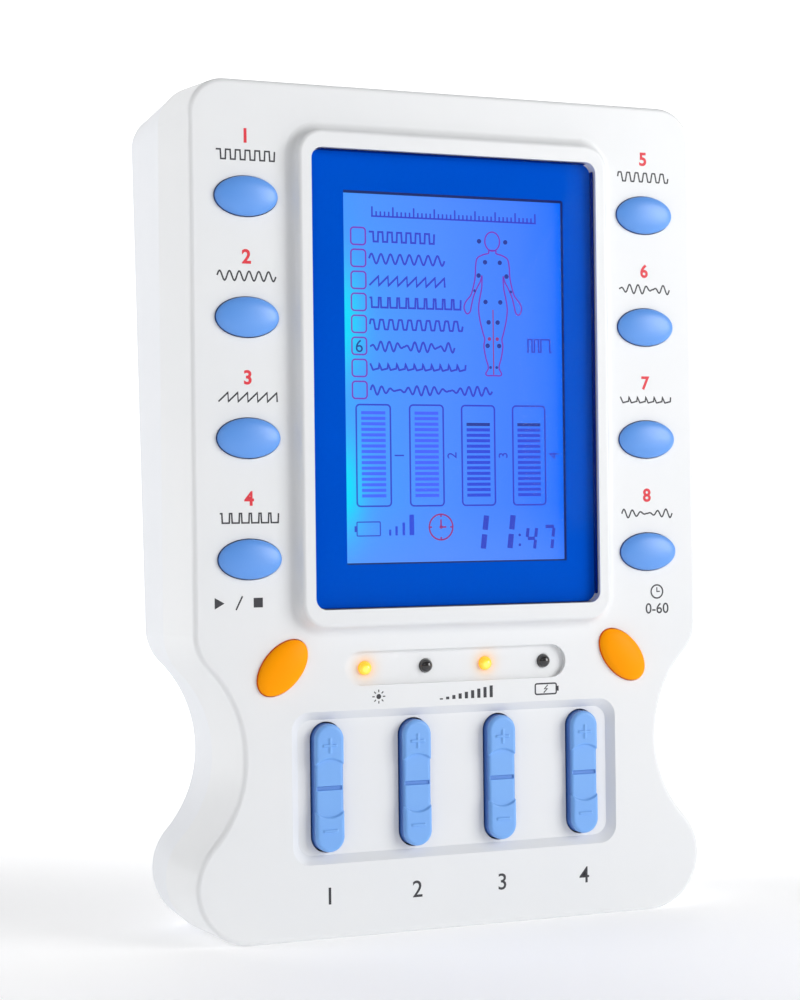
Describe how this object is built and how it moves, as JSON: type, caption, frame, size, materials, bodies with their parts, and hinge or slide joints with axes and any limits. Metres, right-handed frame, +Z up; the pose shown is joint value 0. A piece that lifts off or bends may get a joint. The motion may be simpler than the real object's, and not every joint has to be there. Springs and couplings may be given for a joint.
{
  "type": "muscle stimulator",
  "caption": "Upright physiotherapy stimulator with a backlit display, oval program keys, rocking channel keys and lead sockets.",
  "frame": {"origin": "on the flat base, in the middle of its width and depth", "axes": "+Z up, -Y towards the user out of the face, +X to the right seen from the front"},
  "size_m": [0.123, 0.0517, 0.1854],
  "materials": {
    "case_white": "satin moulded",
    "back_white": "satin moulded, fine texture",
    "door_white": "satin moulded, fine texture",
    "lens_clear": "polished clear plastic",
    "border_blue": "printed film",
    "lcd_panel": "backlit display",
    "light_guide": "frosted clear",
    "backlight": "lit",
    "tray_white": "moulded",
    "zebra_rubber": "striped",
    "board_green": "solder mask",
    "tinned_wire": "tinned",
    "lamp_amber": "lit dome",
    "lamp_clear": "smoke-clear dome",
    "silicone": "matt translucent",
    "cell_wrap": "shrink sleeve",
    "contact_nickel": "nickel plated",
    "socket_black": "moulded",
    "switch_metal": "plated",
    "slider_grey": "moulded",
    "screw_steel": "zinc plated",
    "foot_rubber": "matt",
    "core_ferrite": "ground",
    "coil_tape": "taped",
    "chip_black": "moulded",
    "can_sleeve": "sleeved",
    "buzzer_black": "moulded",
    "key_blue": "satin",
    "rocker_blue": "satin",
    "key_orange": "gloss"
  },
  "bodies": {
    "case": {"front_case": "case_white", "rear_case": "back_white", "display_lens": "lens_clear", "lens_border": "border_blue", "lcd_glass": "lcd_panel", "backlight_guide": "light_guide", "backlight_leds": "backlight", "lcd_tray": "tray_white", "zebra_strip": "zebra_rubber", "main_board": "board_green", "led_leads": "tinned_wire", "status_led_1": "lamp_amber", "status_led_2": "lamp_clear", "status_led_3": "lamp_amber", "status_led_4": "lamp_clear", "left_key_mat": "silicone", "right_key_mat": "silicone", "channel_key_mat": "silicone", "battery_cells": "cell_wrap", "battery_contacts": "contact_nickel", "output_socket_1": "socket_black", "output_socket_2": "socket_black", "output_socket_3": "socket_black", "output_socket_4": "socket_black", "charger_inlet": "socket_black", "power_switch": "switch_metal", "case_screws": "screw_steel", "board_screws": "screw_steel", "rear_feet": "foot_rubber", "transformer_cores": "core_ferrite", "transformer_coils": "coil_tape", "control_chips": "chip_black", "capacitors": "can_sleeve", "buzzer": "buzzer_black"},
    "program_key_1": {"program_key_1": "key_blue"},
    "program_key_2": {"program_key_2": "key_blue"},
    "program_key_3": {"program_key_3": "key_blue"},
    "program_key_4": {"program_key_4": "key_blue"},
    "program_key_5": {"program_key_5": "key_blue"},
    "program_key_6": {"program_key_6": "key_blue"},
    "program_key_7": {"program_key_7": "key_blue"},
    "program_key_8": {"program_key_8": "key_blue"},
    "start_stop_key": {"start_stop_key": "key_orange"},
    "timer_key": {"timer_key": "key_orange"},
    "channel_key_1": {"channel_key_1": "rocker_blue"},
    "channel_key_2": {"channel_key_2": "rocker_blue"},
    "channel_key_3": {"channel_key_3": "rocker_blue"},
    "channel_key_4": {"channel_key_4": "rocker_blue"},
    "power_slider": {"power_slider": "slider_grey"},
    "battery_door": {"battery_door": "door_white"}
  },
  "joints": [
    {"name": "program_key_1_press", "type": "slide", "parent": "case", "child": "program_key_1", "axis": [0, 1, 0], "range_m": [0, 0.001], "stiffness_N_per_m": 300, "springref_m": -0.001, "deforming": ["left_key_mat"]},
    {"name": "program_key_2_press", "type": "slide", "parent": "case", "child": "program_key_2", "axis": [0, 1, 0], "range_m": [0, 0.001], "stiffness_N_per_m": 300, "springref_m": -0.001, "deforming": ["left_key_mat"]},
    {"name": "program_key_3_press", "type": "slide", "parent": "case", "child": "program_key_3", "axis": [0, 1, 0], "range_m": [0, 0.001], "stiffness_N_per_m": 300, "springref_m": -0.001, "deforming": ["left_key_mat"]},
    {"name": "program_key_4_press", "type": "slide", "parent": "case", "child": "program_key_4", "axis": [0, 1, 0], "range_m": [0, 0.001], "stiffness_N_per_m": 300, "springref_m": -0.001, "deforming": ["left_key_mat"]},
    {"name": "program_key_5_press", "type": "slide", "parent": "case", "child": "program_key_5", "axis": [0, 1, 0], "range_m": [0, 0.001], "stiffness_N_per_m": 300, "springref_m": -0.001, "deforming": ["right_key_mat"]},
    {"name": "program_key_6_press", "type": "slide", "parent": "case", "child": "program_key_6", "axis": [0, 1, 0], "range_m": [0, 0.001], "stiffness_N_per_m": 300, "springref_m": -0.001, "deforming": ["right_key_mat"]},
    {"name": "program_key_7_press", "type": "slide", "parent": "case", "child": "program_key_7", "axis": [0, 1, 0], "range_m": [0, 0.001], "stiffness_N_per_m": 300, "springref_m": -0.001, "deforming": ["right_key_mat"]},
    {"name": "program_key_8_press", "type": "slide", "parent": "case", "child": "program_key_8", "axis": [0, 1, 0], "range_m": [0, 0.001], "stiffness_N_per_m": 300, "springref_m": -0.001, "deforming": ["right_key_mat"]},
    {"name": "start_stop_key_press", "type": "slide", "parent": "case", "child": "start_stop_key", "axis": [0, 1, 0], "range_m": [0, 0.001], "stiffness_N_per_m": 300, "springref_m": -0.001, "deforming": ["left_key_mat"]},
    {"name": "timer_key_press", "type": "slide", "parent": "case", "child": "timer_key", "axis": [0, 1, 0], "range_m": [0, 0.001], "stiffness_N_per_m": 300, "springref_m": -0.001, "deforming": ["right_key_mat"]},
    {"name": "channel_key_1_rock", "type": "hinge", "parent": "case", "child": "channel_key_1", "pos_m": [-0.03045, -0.0119, 0.0324], "axis": [1, 0, 0], "range_deg": [-3.5, 3.5], "stiffness_Nm_per_rad": 0.15, "deforming": ["channel_key_mat"]},
    {"name": "channel_key_2_rock", "type": "hinge", "parent": "case", "child": "channel_key_2", "pos_m": [-0.01015, -0.0119, 0.0324], "axis": [1, 0, 0], "range_deg": [-3.5, 3.5], "stiffness_Nm_per_rad": 0.15, "deforming": ["channel_key_mat"]},
    {"name": "channel_key_3_rock", "type": "hinge", "parent": "case", "child": "channel_key_3", "pos_m": [0.01015, -0.0119, 0.0324], "axis": [1, 0, 0], "range_deg": [-3.5, 3.5], "stiffness_Nm_per_rad": 0.15, "deforming": ["channel_key_mat"]},
    {"name": "channel_key_4_rock", "type": "hinge", "parent": "case", "child": "channel_key_4", "pos_m": [0.03045, -0.0119, 0.0324], "axis": [1, 0, 0], "range_deg": [-3.5, 3.5], "stiffness_Nm_per_rad": 0.15, "deforming": ["channel_key_mat"]},
    {"name": "power_slide", "type": "slide", "parent": "case", "child": "power_slider", "axis": [1, 0, 0], "range_m": [0, 0.004]},
    {"name": "battery_door_hinge", "type": "hinge", "parent": "case", "child": "battery_door", "pos_m": [0, 0.01675, 0.01166], "axis": [-1, 0, 0], "range_deg": [0, 90]}
  ]
}
